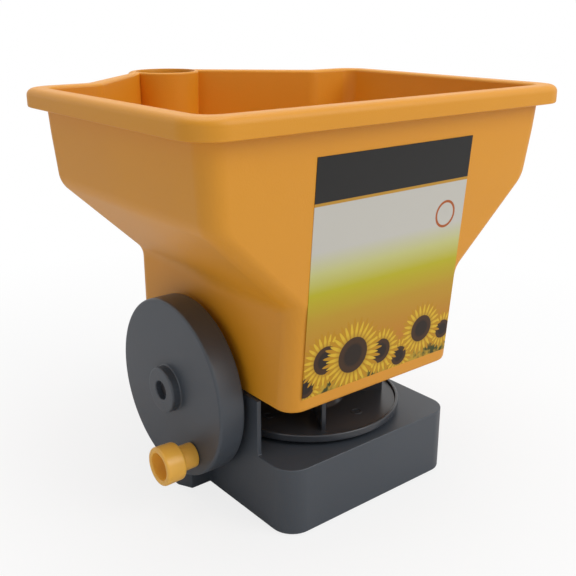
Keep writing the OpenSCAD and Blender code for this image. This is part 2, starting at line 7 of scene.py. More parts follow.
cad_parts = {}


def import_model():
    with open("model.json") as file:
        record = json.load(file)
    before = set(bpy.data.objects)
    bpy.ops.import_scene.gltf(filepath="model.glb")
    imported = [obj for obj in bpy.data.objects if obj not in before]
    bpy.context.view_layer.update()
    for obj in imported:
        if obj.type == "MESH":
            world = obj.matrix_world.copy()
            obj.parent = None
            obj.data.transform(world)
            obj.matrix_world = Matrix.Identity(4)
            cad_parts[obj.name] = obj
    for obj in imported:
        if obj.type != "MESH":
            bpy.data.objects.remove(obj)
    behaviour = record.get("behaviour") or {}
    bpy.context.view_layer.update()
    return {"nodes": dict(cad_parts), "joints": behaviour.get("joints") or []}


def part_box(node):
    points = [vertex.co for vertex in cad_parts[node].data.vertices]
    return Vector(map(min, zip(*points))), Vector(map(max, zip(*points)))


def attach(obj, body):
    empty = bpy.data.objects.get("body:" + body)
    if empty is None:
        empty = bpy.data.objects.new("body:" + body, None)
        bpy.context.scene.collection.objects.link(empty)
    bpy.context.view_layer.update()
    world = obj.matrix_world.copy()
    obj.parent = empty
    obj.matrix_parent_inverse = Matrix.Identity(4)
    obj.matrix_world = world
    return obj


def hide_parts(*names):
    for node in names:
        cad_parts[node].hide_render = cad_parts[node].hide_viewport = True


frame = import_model()
MM = 0.001


def box_mm(node):
    """Lowest and highest corner of a CAD node in millimetres."""
    low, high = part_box(node)
    return low / MM, high / MM


def axis_of(joint):
    """A joint's place in millimetres."""
    found = [j for j in frame["joints"] if j["name"] == joint][0]
    return Vector(found["pos_m"]) / MM


# ---- Sizes of the spreader, in millimetres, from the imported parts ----
hopper_low, hopper_high = box_mm("hopper")
base_low, base_high = box_mm("base_housing")
disc_low, disc_high = box_mm("spreading_disc")
film_low, film_high = box_mm("front_label")
wheel_low, wheel_high = box_mm("crank_wheel")
knob_low, knob_high = box_mm("crank_knob")
disc_axis = axis_of("disc_spin")
crank_axis = axis_of("crank_spin")
knob_axis = axis_of("knob_spin")
pinion_axis = axis_of("pinion_spin")

WALL = 2.4
RIM_OVER, RIM_TALL = 8.0, 9.0
RIM_R, RIM_INNER_R = 3.4, 1.6
FRONT_LEAN = 10.8
half_rim = hopper_high.x
top_z = hopper_high.z
lip_z = top_z - RIM_TALL
rim_front = hopper_low.y
seat_z = box_mm("shutter_guide")[1].z
floor_z = seat_z + WALL
base_half = base_high.x
lower_half = base_half - 1
wall_rear = 39.0
wall_front = rim_front + RIM_OVER
foot_front = wall_front + FRONT_LEAN
base_front = foot_front - 1
base_rear = wall_rear + 1
deck_z = disc_low.z - 2.2
tongue_z = base_high.z
BREAK_Z, CREASE_Z, NECK_Z = 160.0, 117.5, 145.0
NECK_HALF = 73.0
HANDLE_TOP_R, HANDLE_FOOT_R, HANDLE_RIM = 20.0, 16.5, 3.0
handle_y = hopper_high.y - HANDLE_TOP_R - HANDLE_RIM
HOPPER_CORNER_R, BASE_CORNER_R, CORNER_STEPS = 10.0, 12.0, 8
LEFT_WALL_BACK, RIGHT_WALL_BACK = 24, 74
TONGUE_HALF, TONGUE_TALL = 18.5, 27
SPINE_HALF, SPINE_OUT = 17, 8
SPIGOT_R, SPIGOT_LONG = 9, 12
SCREW_R, BOSS_R = 1.75, 4.6
SHAFT_HOLE_R = 5
WHEEL_BOSS, RING_TEETH, WHEEL_RIBS = 5, 87, 6
VANES, VANE_ANGLE, VANE_HALF = 4, 61, 1.2

# Where screws go in: the hopper's rear posts, the cover's corners and the shutter guide
rear_posts = [(s * (base_half - 11), base_rear - 10.5) for s in (-1, 1)]
cover_corners = [(s * (base_half - 9), y) for s in (-1, 1) for y in (base_front + 9, base_rear - 9)]
guide_places = [(s * 25.8, y) for s in (-1, 1) for y in (disc_axis.y + 14, wall_rear - 14)]


# ---- Making and joining shapes ----
def shape(name, points, faces):
    """A mesh object from points in millimetres, its faces turned outwards."""
    mesh = bpy.data.meshes.new(name)
    mesh.from_pydata([Vector(p) * MM for p in points], [], faces)
    mesh.validate()
    made = bpy.data.objects.new(name, mesh)
    bpy.context.scene.collection.objects.link(made)
    return turned_out(made)


def turned_out(made):
    """Merges doubles, then makes the normals of a closed mesh point outwards."""
    work = bmesh.new()
    work.from_mesh(made.data)
    bmesh.ops.remove_doubles(work, verts=work.verts, dist=0.002 * MM)
    bmesh.ops.recalc_face_normals(work, faces=work.faces)
    work.to_mesh(made.data)
    work.free()
    return made


def loft(name, rings, closed=True):
    """A skin through rings with as many points each; the ends get caps, or meet if closed is False."""
    count = len(rings[0])
    points = [p for ring in rings for p in ring]
    faces = []
    last = len(rings) - 1
    for k in range(last if closed else last + 1):
        a, b = k * count, ((k + 1) % len(rings)) * count
        for i in range(count):
            j = (i + 1) % count
            faces.append((a + i, a + j, b + j, b + i))
    if closed:
        faces.append(tuple(reversed(range(count))))
        faces.append(tuple(last * count + i for i in range(count)))
    return shape(name, points, faces)


def rounded(x1, x2, y1, y2, r, steps=8):
    """Corner points of a rectangle with round corners."""
    points = []
    corners = ((x2 - r, y2 - r, 0), (x1 + r, y2 - r, 90), (x1 + r, y1 + r, 180), (x2 - r, y1 + r, 270))
    for cx, cy, start in corners:
        for i in range(steps + 1):
            a = radians(start + 90 * i / steps)
            points.append((cx + r * cos(a), cy + r * sin(a)))
    return points


def prism(name, outline, z1, z2):
    """An outline pulled straight up from z1 to z2."""
    return loft(name, [[(x, y, z1) for x, y in outline], [(x, y, z2) for x, y in outline]])


def block(name, x1, x2, y1, y2, z1, z2):
    """A box with square corners."""
    return prism(name, [(x1, y1), (x2, y1), (x2, y2), (x1, y2)], z1, z2)


def circle(r, x=0.0, y=0.0, steps=48):
    """Points round a circle."""
    return [(x + r * cos(2 * pi * i / steps), y + r * sin(2 * pi * i / steps)) for i in range(steps)]


def rod(name, z1, z2, r, x=0.0, y=0.0, steps=48):
    """An upright round bar."""
    return prism(name, circle(r, x, y, steps), z1, z2)


def moved(made, x, y, z=0.0):
    """Shifts a shape by millimetres."""
    made.data.transform(Matrix.Translation(Vector((x, y, z)) * MM))
    return made


def lying(made, x, y, z):
    """Turns a shape made around Z so that its axis runs towards -X from a point."""
    turn = Matrix.Translation(Vector((x, y, z)) * MM) @ Matrix.Rotation(radians(-90), 4, "Y")
    made.data.transform(turn)
    return made


def turned(name, profile, steps=96):
    """A solid turned around Z from (radius, height) points; radius 0 closes at the axis."""
    rings = [[(max(r, 1e-4) * cos(2 * pi * i / steps), max(r, 1e-4) * sin(2 * pi * i / steps), z)
              for i in range(steps)] for r, z in profile]
    solid_axis = profile[0][0] == 0 and profile[-1][0] == 0
    return loft(name, rings, closed=solid_axis)


def softened(profile, radius, steps=5):
    """A profile whose corners are rounded; each point may name its own radius as a third value."""
    out = []
    count = len(profile)
    for i, point in enumerate(profile):
        r = point[2] if len(point) > 2 else radius
        here = Vector(point[:2])
        before, after = Vector(profile[i - 1][:2]), Vector(profile[(i + 1) % count][:2])
        if r <= 0 or (point[0] == 0) or (i in (0, count - 1) and (profile[0][0] == 0)):
            out.append(tuple(here))
            continue
        to_before, to_after = before - here, after - here
        half = to_before.angle(to_after) / 2
        reach = min(r / tan(half), to_before.length * 0.49, to_after.length * 0.49)
        r = reach * tan(half)
        p, q = here + to_before.normalized() * reach, here + to_after.normalized() * reach
        for k in range(steps + 1):
            t = k / steps
            out.append(tuple(p * (1 - t) ** 2 + here * 2 * t * (1 - t) + q * t * t))
    return out


def apply_modifiers(made):
    """Turns an object with live modifiers into a plain mesh."""
    depsgraph = bpy.context.evaluated_depsgraph_get()
    mesh = bpy.data.meshes.new_from_object(made.evaluated_get(depsgraph))
    made.modifiers.clear()
    made.data = mesh
    return made


def build(base, add=(), cut=()):
    """Joins shapes to a base shape, then cuts others out of it."""
    for operation, others in (("UNION", add), ("DIFFERENCE", cut)):
        for other in others:
            step = base.modifiers.new(other.name, "BOOLEAN")
            step.operation, step.solver, step.object = operation, "MANIFOLD", other
    apply_modifiers(base)
    for other in list(add) + list(cut):
        bpy.data.objects.remove(other)
    return base


def eased(made, width, steps=2, angle=32):
    """Rounds the sharp edges of a solid."""
    flat = made.modifiers.new("flat", "DECIMATE")
    flat.decimate_type, flat.angle_limit = "DISSOLVE", radians(0.5)
    soft = made.modifiers.new("soft", "BEVEL")
    soft.width, soft.segments, soft.limit_method = width * MM, steps, "ANGLE"
    soft.angle_limit, soft.use_clamp_overlap = radians(angle), True
    soft.harden_normals = False
    return apply_modifiers(made)


def smooth(made, angle=32):
    """Smooth shading that keeps the edges sharper than an angle."""
    for face in made.data.polygons:
        face.use_smooth = True
    made.data.set_sharp_from_angle(angle=radians(angle))
    even = made.modifiers.new("even", "WEIGHTED_NORMAL")
    even.keep_sharp = True
    return apply_modifiers(made)


def piece(made, name, body, material, replaces=()):
    """Finishes a piece: its name, material, the body that it moves with and what it stands for."""
    made.name = name
    made.data.materials.clear()
    made.data.materials.append(material)
    smooth(made)
    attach(made, body)
    if replaces:
        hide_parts(*replaces)
    return made


# ---- Geometry Nodes: what repeats round an axis or at a list of places ----
def added(nodes, kind, **settings):
    """A new node with settings of its own."""
    node = nodes.new(kind)
    for label, setting in settings.items():
        setattr(node, label, setting)
    return node


def node_tree(name, sockets):
    """An empty geometry tree with named inputs."""
    tree = bpy.data.node_groups.new(name, "GeometryNodeTree")
    for label, kind in sockets:
        tree.interface.new_socket(label, in_out="INPUT", socket_type=kind)
    tree.interface.new_socket("Geometry", in_out="OUTPUT", socket_type="NodeSocketGeometry")
    return tree, tree.nodes.new("NodeGroupInput"), tree.nodes.new("NodeGroupOutput")


def set_inputs(modifier, tree, values):
    """Gives a modifier the values of its tree's named inputs."""
    for item in tree.interface.items_tree:
        if getattr(item, "in_out", "") == "INPUT" and item.name in values:
            modifier[item.identifier] = values[item.name]


def round_row_tree():
    """One template, repeated evenly round the Z axis."""
    tree, source, result = node_tree("round row", [
        ("Template", "NodeSocketObject"), ("Count", "NodeSocketInt"),
        ("Start angle", "NodeSocketFloat"), ("Finish", "NodeSocketMaterial")])
    n, link = tree.nodes, tree.links
    points = n.new("GeometryNodePoints")
    template = n.new("GeometryNodeObjectInfo")
    index = n.new("GeometryNodeInputIndex")
    step = added(n, "ShaderNodeMath", operation="DIVIDE")
    step.inputs[0].default_value = 2 * pi
    turn = added(n, "ShaderNodeMath", operation="MULTIPLY_ADD")
    rotation = n.new("ShaderNodeCombineXYZ")
    place = n.new("GeometryNodeInstanceOnPoints")
    real = n.new("GeometryNodeRealizeInstances")
    finish = n.new("GeometryNodeSetMaterial")
    link.new(source.outputs["Count"], points.inputs["Count"])
    link.new(source.outputs["Template"], template.inputs["Object"])
    link.new(source.outputs["Count"], step.inputs[1])
    link.new(index.outputs[0], turn.inputs[0])
    link.new(step.outputs[0], turn.inputs[1])
    link.new(source.outputs["Start angle"], turn.inputs[2])
    link.new(turn.outputs[0], rotation.inputs["Z"])
    link.new(points.outputs[0], place.inputs["Points"])
    link.new(template.outputs["Geometry"], place.inputs["Instance"])
    link.new(rotation.outputs[0], place.inputs["Rotation"])
    link.new(place.outputs[0], real.inputs[0])
    link.new(real.outputs[0], finish.inputs["Geometry"])
    link.new(source.outputs["Finish"], finish.inputs["Material"])
    link.new(finish.outputs[0], result.inputs[0])
    return tree


def placed_row_tree():
    """One template, set on every point of the object that carries the tree."""
    tree, source, result = node_tree("placed row", [
        ("Geometry", "NodeSocketGeometry"), ("Template", "NodeSocketObject"),
        ("Finish", "NodeSocketMaterial")])
    n, link = tree.nodes, tree.links
    template = n.new("GeometryNodeObjectInfo")
    place = n.new("GeometryNodeInstanceOnPoints")
    real = n.new("GeometryNodeRealizeInstances")
    finish = n.new("GeometryNodeSetMaterial")
    link.new(source.outputs["Geometry"], place.inputs["Points"])
    link.new(source.outputs["Template"], template.inputs["Object"])
    link.new(template.outputs["Geometry"], place.inputs["Instance"])
    link.new(place.outputs[0], real.inputs[0])
    link.new(real.outputs[0], finish.inputs["Geometry"])
    link.new(source.outputs["Finish"], finish.inputs["Material"])
    link.new(finish.outputs[0], result.inputs[0])
    return tree


ROUND_ROW = round_row_tree()
PLACED_ROW = placed_row_tree()


def round_row(name, template, count, start, finish):
    """A ring of copies of a template around the Z axis, as one plain mesh."""
    holder = bpy.data.objects.new(name, bpy.data.meshes.new(name))
    bpy.context.scene.collection.objects.link(holder)
    row = holder.modifiers.new("round row", "NODES")
    row.node_group = ROUND_ROW
    values = {"Template": template, "Count": count, "Start angle": start, "Finish": finish}
    set_inputs(row, ROUND_ROW, values)
    apply_modifiers(holder)
    bpy.data.objects.remove(template)
    return holder


def placed_row(name, template, places, finish):
    """Copies of a template at a list of places in millimetres, as one plain mesh."""
    mesh = bpy.data.meshes.new(name)
    mesh.from_pydata([Vector(p) * MM for p in places], [], [])
    holder = bpy.data.objects.new(name, mesh)
    bpy.context.scene.collection.objects.link(holder)
    row = holder.modifiers.new("placed row", "NODES")
    row.node_group = PLACED_ROW
    set_inputs(row, PLACED_ROW, {"Template": template, "Finish": finish})
    apply_modifiers(holder)
    bpy.data.objects.remove(template)
    return holder


def merged(first, *others):
    """Puts the meshes of other objects into the first one."""
    work = bmesh.new()
    work.from_mesh(first.data)
    for other in others:
        work.from_mesh(other.data)
        bpy.data.objects.remove(other)
    work.to_mesh(first.data)
    work.free()
    return first


# ---- Materials ----
CLOUD_SCALE = 14.0
GLOSS_SPREAD = 0.05


def linear(*srgb):
    """A colour written as 0-255 sRGB, as the shader wants it."""
    shares = [c / 255 for c in srgb]
    return tuple(c / 12.92 if c <= 0.0404 else ((c + 0.055) / 1.055) ** 2.4 for c in shares) + (1.0,)


def plastic(name, dark, light, roughness, grain, bump):
    """Moulded plastic: two close tones in soft clouds, a fine grain, slightly uneven gloss."""
    material = bpy.data.materials.new(name)
    material.use_nodes = True
    n, link = material.node_tree.nodes, material.node_tree.links
    shader = n["Principled BSDF"]
    place = n.new("ShaderNodeTexCoord")
    cloud = n.new("ShaderNodeTexNoise")
    cloud.inputs["Scale"].default_value = CLOUD_SCALE
    cloud.inputs["Detail"].default_value = 3.0
    tone = added(n, "ShaderNodeMix", data_type="RGBA")
    tone.inputs["A"].default_value, tone.inputs["B"].default_value = dark, light
    fine = n.new("ShaderNodeTexNoise")
    fine.inputs["Scale"].default_value = grain
    fine.inputs["Detail"].default_value = 2.0
    gloss = n.new("ShaderNodeMapRange")
    gloss.inputs["To Min"].default_value = roughness - GLOSS_SPREAD
    gloss.inputs["To Max"].default_value = roughness + GLOSS_SPREAD
    relief = n.new("ShaderNodeBump")
    relief.inputs["Strength"].default_value = bump
    relief.inputs["Distance"].default_value = 0.0002
    link.new(place.outputs["Object"], cloud.inputs["Vector"])
    link.new(place.outputs["Object"], fine.inputs["Vector"])
    link.new(cloud.outputs["Fac"], tone.inputs["Factor"])
    link.new(tone.outputs["Result"], shader.inputs["Base Color"])
    link.new(cloud.outputs["Fac"], gloss.inputs["Value"])
    link.new(gloss.outputs["Result"], shader.inputs["Roughness"])
    link.new(fine.outputs["Fac"], relief.inputs["Height"])
    link.new(relief.outputs["Normal"], shader.inputs["Normal"])
    return material


ORANGE = plastic("orange moulded plastic", linear(224, 149, 26), linear(232, 158, 34), 0.46, 1500, 0.40)
KNOB_ORANGE = plastic("orange knob plastic", linear(255, 190, 74), linear(255, 198, 86), 0.30, 2200, 0.15)
GREY = plastic("anthracite moulded plastic", linear(65, 71, 79), linear(74, 80, 88), 0.40, 1800, 0.35)
DECK_GREY = plastic("polished anthracite plastic", linear(54, 57, 63), linear(62, 65, 71), 0.22, 2500, 0.06)
NYLON = plastic("natural nylon", linear(224, 219, 203), linear(234, 230, 216), 0.45, 900, 0.2)
PAINT = plastic("pale mark paint", linear(226, 226, 222), linear(236, 236, 232), 0.5, 1500, 0.1)
STEEL = plastic("zinc-plated steel", linear(188, 190, 194), linear(204, 206, 210), 0.28, 3000, 0.12)
DARK_STEEL = plastic("blackened steel", linear(46, 46, 49), linear(60, 60, 63), 0.42, 2600, 0.15)
for metal in (STEEL, DARK_STEEL):
    metal.node_tree.nodes["Principled BSDF"].inputs["Metallic"].default_value = 1.0


# The front film's print: places and sizes are shares of its width, measured from its top left corner
BAND_END, GOLD_END = 0.205, 0.219
RING_AT, RING_R, RING_THICK = (0.865, 0.378), 0.064, 0.0075
LEAF_SCALE, LEAF_TOP = 190.0, 0.965
CRISP = 500.0
# colours of the field from its top (0) to its bottom (1)
FIELD = ((0.0, (203, 200, 192)), (0.37, (205, 202, 193)), (0.46, (203, 202, 132)), (0.545, (192, 182, 36)),
         (0.66, (196, 154, 44)), (0.85, (198, 130, 40)), (1.0, (160, 100, 24)))
# sunflowers from back to front: across, down, radius, petals and turn
FLOWERS = ((0.02, 1.10, 0.11, 20, 0.3), (0.64, 1.10, 0.11, 20, 0.2), (0.96, 1.03, 0.11, 19, 0.6),
           (0.13, 0.985, 0.155, 23, 0.1), (0.79, 0.985, 0.155, 23, 0.5), (0.50, 1.035, 0.14, 21, 0.8),
           (0.31, 1.005, 0.20, 27, 0.4))


def film_material():
    """The front film: dark band, gold line, a field from pale to orange, a bare ring and sunflowers."""
    material = bpy.data.materials.new("printed front film")
    material.use_nodes = True
    n, link = material.node_tree.nodes, material.node_tree.links
    shader = n["Principled BSDF"]
    shader.inputs["Roughness"].default_value = 0.5
    shader.inputs["Specular IOR Level"].default_value = 0.3

    def feed(source, socket):
        """Links another socket to this one, or sets it to a plain value."""
        if hasattr(source, "is_linked"):
            link.new(source, socket)
        else:
            socket.default_value = source

    def math(operation, *values, clamp=False):
        """A sum of sockets and plain values."""
        node = added(n, "ShaderNodeMath", operation=operation, use_clamp=clamp)
        for i, source in enumerate(values):
            feed(source, node.inputs[i])
        return node.outputs[0]

    def where(high, low, slope):
        """A mask that is 1 where high is above low, with an edge as steep as the slope."""
        return math("MULTIPLY", math("SUBTRACT", high, low), slope, clamp=True)

    def over(below, above, mask):
        """One colour laid over another where the mask is 1."""
        node = added(n, "ShaderNodeMix", data_type="RGBA")
        link.new(mask, node.inputs["Factor"])
        feed(below, node.inputs["A"])
        feed(above, node.inputs["B"])
        return node.outputs["Result"]

    place = n.new("ShaderNodeTexCoord")
    split = n.new("ShaderNodeSeparateXYZ")
    link.new(place.outputs["Object"], split.inputs[0])
    wide, tall = film_high.x - film_low.x, film_high.z - film_low.z
    across = math("DIVIDE", math("SUBTRACT", split.outputs["X"], film_low.x * MM), wide * MM)
    down = math("DIVIDE", math("SUBTRACT", film_high.z * MM, split.outputs["Z"]), wide * MM)
    aspect = tall / wide

    def offset(cx, cy):
        """How far a point lies from a centre: sideways, down and in a straight line."""
        dx, dy = math("SUBTRACT", across, cx), math("SUBTRACT", down, cy)
        return dx, dy, math("SQRT", math("ADD", math("MULTIPLY", dx, dx), math("MULTIPLY", dy, dy)))

    def flower(below, cx, cy, size, petals, turn):
        """A sunflower seen from the front: two rows of petals round a dark seed head."""
        dx, dy, away = offset(cx, cy)
        far = math("DIVIDE", away, size)
        angle = math("ARCTAN2", dy, dx)
        for shift, length, tone in ((0.0, 1.0, linear(196, 142, 22)), (0.5, 0.88, linear(226, 186, 48))):
            wave = math("FRACT", math("MULTIPLY_ADD", angle, petals / (2 * pi), turn + shift + 8.0))
            off = math("MULTIPLY", math("ABSOLUTE", math("SUBTRACT", wave, 0.5)), 2.0)
            reach = math("SUBTRACT", length, math("MULTIPLY", math("POWER", off, 1.6), 0.52))
            edge = math("MULTIPLY", math("POWER", off, 3.0), 0.8, clamp=True)
            shaded = over(tone, linear(150, 96, 14), edge)
            shaded = over(shaded, linear(150, 88, 18), where(0.62, far, 3.0))
            below = over(below, shaded, where(reach, far, 40.0))
        below = over(below, linear(66, 42, 22), where(0.48, far, 60.0))
        return over(below, linear(38, 26, 18), where(0.34, far, 12.0))

    field = n.new("ShaderNodeValToRGB")
    stops = field.color_ramp.elements
    while len(stops) < len(FIELD):
        stops.new(0.5)
    for stop, (at, shade) in zip(stops, FIELD):
        stop.position, stop.color = at, linear(*shade)
    link.new(math("DIVIDE", down, aspect), field.inputs[0])

    leaf = n.new("ShaderNodeTexNoise")
    leaf.inputs["Scale"].default_value = LEAF_SCALE
    link.new(place.outputs["Object"], leaf.inputs["Vector"])
    leaves = over(linear(60, 66, 22), linear(196, 158, 44), where(leaf.outputs["Fac"], 0.42, 7.0))
    ragged = math("ADD", down, math("MULTIPLY", leaf.outputs["Fac"], 0.10))
    colour = over(field.outputs["Color"], leaves, where(ragged, aspect * LEAF_TOP, 26.0))
    for bloom in FLOWERS:
        colour = flower(colour, *bloom)

    away = offset(*RING_AT)[2]
    from_ring = math("ABSOLUTE", math("SUBTRACT", away, RING_R))
    colour = over(colour, linear(176, 92, 40), where(RING_THICK, from_ring, CRISP))
    colour = over(colour, linear(196, 146, 52), where(GOLD_END, down, CRISP))
    colour = over(colour, linear(34, 33, 32), where(BAND_END, down, CRISP))
    link.new(colour, shader.inputs["Base Color"])
    return material


FILM = film_material()


# ---- Hopper ----
def blended(points, z):
    """Value at a height on a line of (height, value) points whose corners are rounded."""
    for (z1, v1), (z2, v2) in zip(points, points[1:]):
        if z <= z2:
            return v1 + (v2 - v1) * (z - z1) / (z2 - z1)
    return points[-1][1]


def side_line():
    """Half width of the side wall over its height, with soft bends at the crease and the break."""
    top_half = half_rim - RIM_OVER
    break_half = top_half - 0.1 * (lip_z - BREAK_Z)
    raw = [(seat_z - 1, lower_half, 0), (CREASE_Z, lower_half, 11),
           (BREAK_Z, break_half, 13), (top_z + 2, top_half + 1.1, 0)]
    return softened(raw, 0, steps=7)


SIDE_LINE = side_line()
NECK_SIDE = (Vector((NECK_HALF, wall_rear)), Vector((HANDLE_TOP_R, handle_y)))
ROOT_R, ROOT_REACH, INNER_ROOT = 9.0, 0.414, 1.2
ROOT_STEPS, NECK_STEPS = 5, 4
TIP_OUT = 4.2


def neck_path(out, tip_out):
    """Right half of the neck's outline, from the rear wall to the handle, moved outwards."""
    start, end = NECK_SIDE
    along = (end - start).normalized()
    away = Vector((along.y, -along.x))
    if away.x < 0:
        away.negate()
    first = start + away * out
    last = end + away * tip_out
    direction = (last - first).normalized()
    corner = first + direction * ((wall_rear + out - first.y) / direction.y)
    reach = ROOT_R * ROOT_REACH * (1.0 if out >= 0 else INNER_ROOT)
    p, q = corner + Vector((reach, 0)), corner + direction * reach
    path = []
    for k in range(ROOT_STEPS + 1):
        t = k / ROOT_STEPS
        path.append(p * (1 - t) ** 2 + corner * 2 * t * (1 - t) + q * t * t)
    for k in range(1, NECK_STEPS + 1):
        path.append(q.lerp(last, k / NECK_STEPS))
    return path


def hopper_ring(z, out, neck, tip_out=None, neck_out=None):
    """The hopper wall's outline at a height, moved outwards; neck is how far the neck is drawn out."""
    neck_out = out if neck_out is None else neck_out
    wall_z = min(z, lip_z)
    half = blended(SIDE_LINE, wall_z) + out
    front = foot_front - FRONT_LEAN * (wall_z - seat_z) / (lip_z - seat_z) - out
    rear = wall_rear + out
    r = HOPPER_CORNER_R + (out * 0.7 if out > 0 else out)
    body = rounded(-half, half, front, rear, r, CORNER_STEPS)
    quarter = CORNER_STEPS + 1
    right_rear, left_rear = body[:quarter], body[quarter:2 * quarter]
    left_front, right_front = body[2 * quarter:3 * quarter], body[3 * quarter:]
    path = neck_path(neck_out, neck_out if tip_out is None else tip_out)
    wide = min(path[0].x, half - r - 1)
    right = []
    for k, p in enumerate(path):
        flat = Vector((wide * (1 - k / len(path) * 0.98), rear))
        right.append(tuple(flat.lerp(p, neck)))
    left = [(-x, y) for x, y in reversed(right)]
    outline = right_front + right_rear + right + left + left_rear + left_front
    return [(x, y, z) for x, y in outline]


def hopper_shell():
    """Outer skin, folded rim and inner skin in one loft."""
    bends = {round(z, 3) for z, _ in SIDE_LINE if seat_z + 5 < z < lip_z - 6}
    heights = sorted(bends | {75.0, 90.0, 105.0, 185.0})
    low = [z for z in heights if z < NECK_Z - 4]
    under = lip_z + RIM_TALL - WALL
    inner_lip, inside = RIM_OVER - WALL, -WALL
    shelf = NECK_Z + WALL
    rings = []

    def ring(z, out, neck=1, **ends):
        """Adds the next outline to the skin."""
        rings.append(hopper_ring(z, out, neck, **ends))

    # outside, from the seat up: the neck springs from the rear wall at its own height
    for lift, out in ((0.0, -2.2), (0.3, -1.2), (1.0, -0.4), (2.4, 0.0)):
        ring(seat_z + lift, out, 0)
    for z in low:
        ring(z, 0, 0)
    for lift, neck in ((-1.5, 0), (-0.4, 0.012), (0, 0.05)):
        ring(NECK_Z + lift, 0, neck)
    ring(NECK_Z + 0.01, 0, 0.99, neck_out=-2.0)
    ring(NECK_Z + 0.6, 0, neck_out=-0.6)
    ring(NECK_Z + 2.0, 0)
    for z in heights:
        if z > NECK_Z + 3:
            ring(z, 0)

    # rim: out under the fold, down its inner side, round the lip and over the top
    for z, out in ((under - 1.4, 0), (under - 0.4, 0.4), (under, 1.4)):
        ring(z, out)
    for z, out, tip in ((under, inner_lip - 1, 1.2), (under - 1, inner_lip, 1.6),
                        (lip_z + 0.4, inner_lip, 1.6), (lip_z, inner_lip + 0.4, 2.2),
                        (lip_z, RIM_OVER - 0.7, TIP_OUT - 0.7),
                        (lip_z + 0.3, RIM_OVER - 0.15, TIP_OUT - 0.2), (lip_z + 1.0, RIM_OVER, TIP_OUT)):
        ring(z, out, tip_out=tip)
    for k in range(7):
        a = radians(15 * k)
        back = RIM_R * (1 - cos(a))
        ring(top_z - RIM_R * (1 - sin(a)), RIM_OVER - back, tip_out=TIP_OUT - back)
    for k in range(5):
        a = radians(22.5 * k)
        ring(top_z - RIM_INNER_R * (1 - cos(a)), inside + RIM_INNER_R * (1 - sin(a)))

    # inside, down to the floor
    ring(lip_z, inside)
    for z in reversed(heights):
        if z > NECK_Z + 8:
            ring(z, inside)
    ring(shelf + 2, inside)
    ring(shelf + 0.6, inside, neck_out=inside - 0.6)
    ring(shelf, inside, 0.985, neck_out=inside - 2)
    for lift, neck in ((-0.01, 0.05), (-0.6, 0.012), (-2, 0)):
        ring(shelf + lift, inside, neck)
    for z in reversed(low):
        ring(z, inside, 0)
    for lift, out in ((2.5, inside), (0.8, inside - 0.7), (0, inside - 2.4)):
        ring(floor_z + lift, out, 0)
    return loft("hopper shell", rings)


def screw_boss(x, y):
    """A round boss that stands on the hopper's floor."""
    profile = [(0, floor_z - 1), (BOSS_R, floor_z - 1, 0), (BOSS_R, floor_z + 8, 0.7), (0, floor_z + 8)]
    return moved(turned("boss", softened(profile, 0.5), 32), x, y)


def hopper():
    """The hopper with its neck, hollow handle column, spine and screw bosses, as one moulding."""
    collar_r, bore_r = HANDLE_TOP_R + HANDLE_RIM, HANDLE_TOP_R - WALL
    foot_z, plug_z = tongue_z + WALL, top_z + 3
    tube = turned("handle tube", softened([(0, tongue_z), (HANDLE_FOOT_R, tongue_z, 0.8),
                                           (HANDLE_TOP_R, top_z, 1.2), (0, top_z)], 0.5), 72)
    collar = turned("handle collar", softened([(0, lip_z), (collar_r, lip_z, 0.8),
                                               (collar_r, top_z, RIM_R), (0, top_z)], 0.5, 7), 72)
    build(collar, [], [block("collar front", -40, 40, -40, 1.5, lip_z - 5, top_z + 5)])
    plug = turned("handle core", softened([(0, foot_z), (HANDLE_FOOT_R - WALL, foot_z, 1.5),
                                           (bore_r, top_z - 1.4, 0), (bore_r + 1.4, plug_z, 0),
                                           (0, plug_z)], 0.5), 72)
    for made in (tube, plug, collar):
        moved(made, 0, handle_y)
    spine_line = rounded(-SPINE_HALF, SPINE_HALF, wall_rear - 3.5, wall_rear + SPINE_OUT, 2.5, 5)
    spine = prism("spine", spine_line, tongue_z, NECK_Z + 0.5)
    inner_half = SPINE_HALF - WALL
    channel_line = rounded(-inner_half, inner_half, wall_rear - 2 * WALL,
                           wall_rear + SPINE_OUT - WALL, 1.5, 4)
    channel = prism("spine channel", channel_line, foot_z, NECK_Z)
    spigot = rod("spigot", tongue_z - SPIGOT_LONG, tongue_z + 1, SPIGOT_R, 0, handle_y)
    spigot_hole = rod("spigot hole", tongue_z - 20, tongue_z - 0.6, SCREW_R, 0, handle_y, 24)
    bosses = rear_posts + guide_places
    posts = [screw_boss(x, y) for x, y in bosses]
    holes = [rod("pilot", seat_z - 1, floor_z + 6, SCREW_R, x, y, 20) for x, y in bosses]
    outlet = block("outlet", -14, 14, disc_axis.y + 8, disc_axis.y + 28, seat_z - 1, floor_z + 2)
    shaft_hole = rod("shaft hole", seat_z - 1, floor_z + 1, SHAFT_HOLE_R, 0, disc_axis.y, 40)
    shell = build(hopper_shell(), [tube, collar, spine, spigot] + posts,
                  [plug, channel, spigot_hole, outlet, shaft_hole] + holes)
    return piece(shell, "hopper_moulding", "housing", ORANGE, ["hopper"])


# ---- Base ----
def base_outline(inset):
    """The base seen from above, its edge moved inwards."""
    return rounded(-base_half + inset, base_half - inset, base_front + inset, base_rear - inset,
                   BASE_CORNER_R - inset, 10)


def tongue_outline(inset):
    """The tongue under the handle, with a round end, its edge moved inwards."""
    half = TONGUE_HALF - inset
    start = base_rear - WALL
    arc = [(half * cos(pi * i / 24), handle_y + half * sin(pi * i / 24)) for i in range(25)]
    return [(half, start)] + arc + [(-half, start)]


def side_prism(name, outline, x1, x2):
    """An outline in Y and Z, pulled along X."""
    return loft(name, [[(x1, y, z) for y, z in outline], [(x2, y, z) for y, z in outline]])


